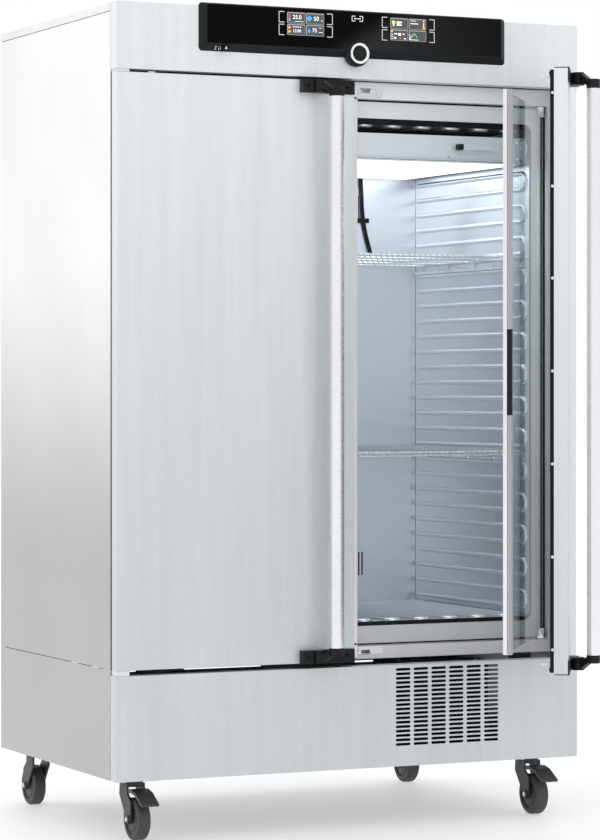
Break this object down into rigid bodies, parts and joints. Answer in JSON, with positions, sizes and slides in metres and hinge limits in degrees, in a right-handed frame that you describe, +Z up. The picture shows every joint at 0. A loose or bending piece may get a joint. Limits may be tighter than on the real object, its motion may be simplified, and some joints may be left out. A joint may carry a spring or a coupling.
{
  "type": "environmental test chamber",
  "caption": "Free-standing double-door climate chamber on castors with a ribbed steel interior, wire shelves, light unit, inner glass doors and a control panel",
  "frame": {"origin": "floor level under the centre of the cabinet's footprint, the cabinet being the box behind the door fronts without castors, handles or open doors", "axes": "+X to the right seen from the front, +Y from the doors towards the back, +Z up"},
  "size_m": [1.2244, 1.3267, 1.9581],
  "materials": {
    "side_panel_left": "satin stainless steel",
    "side_panel_right": "satin stainless steel",
    "top_cover": "satin stainless steel",
    "base_front_panel": "textured stainless steel",
    "fascia_panel": "textured stainless steel",
    "door_left_skin": "textured stainless steel",
    "door_right_skin": "textured stainless steel",
    "rear_cover": "galvanised and painted grey",
    "base_chassis": "dark grey powder coat",
    "castor_plates": "zinc plated",
    "tilt_bracket": "satin",
    "control_housing": "black, fine grain",
    "control_glass": "gloss black glass with two displays",
    "control_electronics": "grey box with a green circuit board",
    "front_frame": "light lilac-grey, satin",
    "mouth_gasket": "black silicone",
    "chamber_liner": "bright stainless steel",
    "insulation": "rigid foam",
    "air_baffle": "satin stainless steel",
    "evaporator": "mill finish fins",
    "fan_motor": "cast, plain",
    "circulation_fan": "plain",
    "compressor": "black enamel",
    "condenser": "dark fins and shroud",
    "condenser_fan": "black",
    "door_fittings": "satin",
    "sensor_lead": "black lead with a white clip",
    "shelf_upper": "polished wire",
    "shelf_lower": "polished wire",
    "light_housing": "satin stainless steel",
    "light_diffuser": "lit opal sheet",
    "knob_ring": "bright ring",
    "knob_button": "black",
    "main_switch": "black",
    "door_left_liner": "satin stainless steel",
    "door_left_gasket": "black silicone",
    "door_left_handle_mounts": "black",
    "handle_left_arms": "black",
    "handle_left_tube": "satin anodised",
    "latch_left_pins": "white",
    "glass_left_frame": "light lilac-grey profile, satin",
    "glass_left_pane": "clear",
    "door_right_liner": "satin stainless steel",
    "door_right_gasket": "black silicone",
    "door_right_handle_mounts": "black",
    "handle_right_arms": "black",
    "handle_right_tube": "satin anodised",
    "latch_right_pins": "white",
    "glass_right_frame": "light lilac-grey profile, satin",
    "glass_right_pane": "clear",
    "castor_fork_front_left": "dark grey",
    "castor_wheel_front_left": "dark grey tyre on a plastic hub",
    "castor_fork_front_right": "dark grey",
    "castor_wheel_front_right": "dark grey tyre on a plastic hub",
    "castor_fork_rear_left": "dark grey",
    "castor_wheel_rear_left": "dark grey tyre on a plastic hub",
    "castor_fork_rear_right": "dark grey",
    "castor_wheel_rear_right": "dark grey tyre on a plastic hub",
    "brake_pedal_front_left": "dark grey",
    "brake_pedal_front_right": "dark grey"
  },
  "bodies": {
    "cabinet": {"side_panel_left": "side_panel_left", "side_panel_right": "side_panel_right", "top_cover": "top_cover", "rear_cover": "rear_cover", "tilt_bracket": "tilt_bracket", "base_chassis": "base_chassis", "castor_plates": "castor_plates", "base_front_panel": "base_front_panel", "fascia_panel": "fascia_panel", "control_housing": "control_housing", "control_glass": "control_glass", "control_electronics": "control_electronics", "front_frame": "front_frame", "mouth_gasket": "mouth_gasket", "chamber_liner": "chamber_liner", "insulation": "insulation", "air_baffle": "air_baffle", "evaporator": "evaporator", "fan_motor": "fan_motor", "compressor": "compressor", "condenser": "condenser", "door_fittings": "door_fittings", "sensor_lead": "sensor_lead"},
    "door_left": {"door_left_skin": "door_left_skin", "door_left_liner": "door_left_liner", "door_left_gasket": "door_left_gasket", "door_left_handle_mounts": "door_left_handle_mounts"},
    "handle_left": {"handle_left_arms": "handle_left_arms", "handle_left_tube": "handle_left_tube"},
    "latch_left": {"latch_left_pins": "latch_left_pins"},
    "glass_door_left": {"glass_left_frame": "glass_left_frame", "glass_left_pane": "glass_left_pane"},
    "door_right": {"door_right_skin": "door_right_skin", "door_right_liner": "door_right_liner", "door_right_gasket": "door_right_gasket", "door_right_handle_mounts": "door_right_handle_mounts"},
    "handle_right": {"handle_right_arms": "handle_right_arms", "handle_right_tube": "handle_right_tube"},
    "latch_right": {"latch_right_pins": "latch_right_pins"},
    "glass_door_right": {"glass_right_frame": "glass_right_frame", "glass_right_pane": "glass_right_pane"},
    "upper_shelf": {"shelf_upper": "shelf_upper"},
    "lower_shelf": {"shelf_lower": "shelf_lower"},
    "light_unit": {"light_housing": "light_housing", "light_diffuser": "light_diffuser"},
    "control_ring": {"knob_ring": "knob_ring"},
    "control_button": {"knob_button": "knob_button"},
    "switch_key": {"main_switch": "main_switch"},
    "air_fan": {"circulation_fan": "circulation_fan"},
    "plant_fan": {"condenser_fan": "condenser_fan"},
    "castor_front_left": {"castor_fork_front_left": "castor_fork_front_left"},
    "wheel_front_left": {"castor_wheel_front_left": "castor_wheel_front_left"},
    "brake_front_left": {"brake_pedal_front_left": "brake_pedal_front_left"},
    "castor_front_right": {"castor_fork_front_right": "castor_fork_front_right"},
    "wheel_front_right": {"castor_wheel_front_right": "castor_wheel_front_right"},
    "brake_front_right": {"brake_pedal_front_right": "brake_pedal_front_right"},
    "castor_rear_left": {"castor_fork_rear_left": "castor_fork_rear_left"},
    "wheel_rear_left": {"castor_wheel_rear_left": "castor_wheel_rear_left"},
    "castor_rear_right": {"castor_fork_rear_right": "castor_fork_rear_right"},
    "wheel_rear_right": {"castor_wheel_rear_right": "castor_wheel_rear_right"}
  },
  "joints": [
    {"name": "door_right_hinge", "type": "hinge", "parent": "cabinet", "child": "door_right", "pos_m": [0.606, -0.387, 1.095], "axis": [0, 0, 1], "range_deg": [-58, 47]},
    {"name": "door_left_hinge", "type": "hinge", "parent": "cabinet", "child": "door_left", "pos_m": [-0.606, -0.387, 1.095], "axis": [0, 0, -1], "range_deg": [0, 105]},
    {"name": "glass_right_hinge", "type": "hinge", "parent": "cabinet", "child": "glass_door_right", "pos_m": [0.541, -0.337, 1.095], "axis": [0, 0, 1], "range_deg": [-51.6, 42]},
    {"name": "glass_left_hinge", "type": "hinge", "parent": "cabinet", "child": "glass_door_left", "pos_m": [-0.541, -0.337, 1.095], "axis": [0, 0, -1], "range_deg": [0, 94]},
    {"name": "handle_right_pivot", "type": "hinge", "parent": "door_right", "child": "handle_right", "pos_m": [0.36065, -0.82682, 1.095], "axis": [0, 0, 1], "range_deg": [0, 20], "stiffness_Nm_per_rad": 6},
    {"name": "handle_left_pivot", "type": "hinge", "parent": "door_left", "child": "handle_left", "pos_m": [-0.103, -0.412, 1.095], "axis": [0, 0, -1], "range_deg": [0, 20], "stiffness_Nm_per_rad": 6},
    {"name": "latch_right_slide", "type": "slide", "parent": "door_right", "child": "latch_right", "axis": [0.5299, 0.848, 0], "range_m": [0, 0.008]},
    {"name": "latch_left_slide", "type": "slide", "parent": "door_left", "child": "latch_left", "axis": [-1, 0, 0], "range_m": [0, 0.008]},
    {"name": "shelf_upper_slide", "type": "slide", "parent": "cabinet", "child": "upper_shelf", "axis": [0, -1, 0], "range_m": [0, 0.018]},
    {"name": "shelf_lower_slide", "type": "slide", "parent": "cabinet", "child": "lower_shelf", "axis": [0, -1, 0], "range_m": [0, 0.018]},
    {"name": "light_unit_slide", "type": "slide", "parent": "cabinet", "child": "light_unit", "axis": [0, -1, 0], "range_m": [0, 0.006]},
    {"name": "knob_ring_turn", "type": "hinge", "parent": "cabinet", "child": "control_ring", "pos_m": [0, -0.4141, 1.8525], "axis": [0, -1, 0], "continuous": true},
    {"name": "knob_button_press", "type": "slide", "parent": "cabinet", "child": "control_button", "axis": [0, 1, 0], "range_m": [0, 0.0015], "stiffness_N_per_m": 900},
    {"name": "main_switch_press", "type": "slide", "parent": "cabinet", "child": "switch_key", "axis": [0, 1, 0], "range_m": [0, 0.001], "stiffness_N_per_m": 900},
    {"name": "circulation_fan_spin", "type": "hinge", "parent": "cabinet", "child": "air_fan", "pos_m": [0, 0.322, 1.09], "axis": [0, 1, 0], "continuous": true},
    {"name": "condenser_fan_spin", "type": "hinge", "parent": "cabinet", "child": "plant_fan", "pos_m": [0.25, -0.246, 0.289], "axis": [0, 1, 0], "continuous": true},
    {"name": "castor_swivel_front_left", "type": "hinge", "parent": "cabinet", "child": "castor_front_left", "pos_m": [-0.531, -0.288, 0.12], "axis": [0, 0, 1], "continuous": true},
    {"name": "wheel_spin_front_left", "type": "hinge", "parent": "castor_front_left", "child": "wheel_front_left", "pos_m": [-0.531, -0.318, 0.05], "axis": [1, 0, 0], "continuous": true},
    {"name": "brake_press_front_left", "type": "hinge", "parent": "castor_front_left", "child": "brake_front_left", "pos_m": [-0.531, -0.318, 0.115], "axis": [1, 0, 0], "range_deg": [0, 4]},
    {"name": "castor_swivel_front_right", "type": "hinge", "parent": "cabinet", "child": "castor_front_right", "pos_m": [0.531, -0.288, 0.12], "axis": [0, 0, 1], "continuous": true},
    {"name": "wheel_spin_front_right", "type": "hinge", "parent": "castor_front_right", "child": "wheel_front_right", "pos_m": [0.531, -0.318, 0.05], "axis": [1, 0, 0], "continuous": true},
    {"name": "brake_press_front_right", "type": "hinge", "parent": "castor_front_right", "child": "brake_front_right", "pos_m": [0.531, -0.318, 0.115], "axis": [1, 0, 0], "range_deg": [0, 4]},
    {"name": "castor_swivel_rear_left", "type": "hinge", "parent": "cabinet", "child": "castor_rear_left", "pos_m": [-0.531, 0.343, 0.12], "axis": [0, 0, 1], "continuous": true},
    {"name": "wheel_spin_rear_left", "type": "hinge", "parent": "castor_rear_left", "child": "wheel_rear_left", "pos_m": [-0.531, 0.373, 0.05], "axis": [1, 0, 0], "continuous": true},
    {"name": "castor_swivel_rear_right", "type": "hinge", "parent": "cabinet", "child": "castor_rear_right", "pos_m": [0.531, 0.343, 0.12], "axis": [0, 0, 1], "continuous": true},
    {"name": "wheel_spin_rear_right", "type": "hinge", "parent": "castor_rear_right", "child": "wheel_rear_right", "pos_m": [0.531, 0.373, 0.05], "axis": [1, 0, 0], "continuous": true}
  ],
  "couplings": [
    {"joint": "glass_right_hinge", "follows": "door_right_hinge", "ratio": 0.88965},
    {"joint": "glass_left_hinge", "follows": "door_left_hinge", "ratio": 0.88965},
    {"joint": "latch_right_slide", "follows": "handle_right_pivot", "m_per_rad": 0.0222},
    {"joint": "latch_left_slide", "follows": "handle_left_pivot", "m_per_rad": 0.0222}
  ]
}
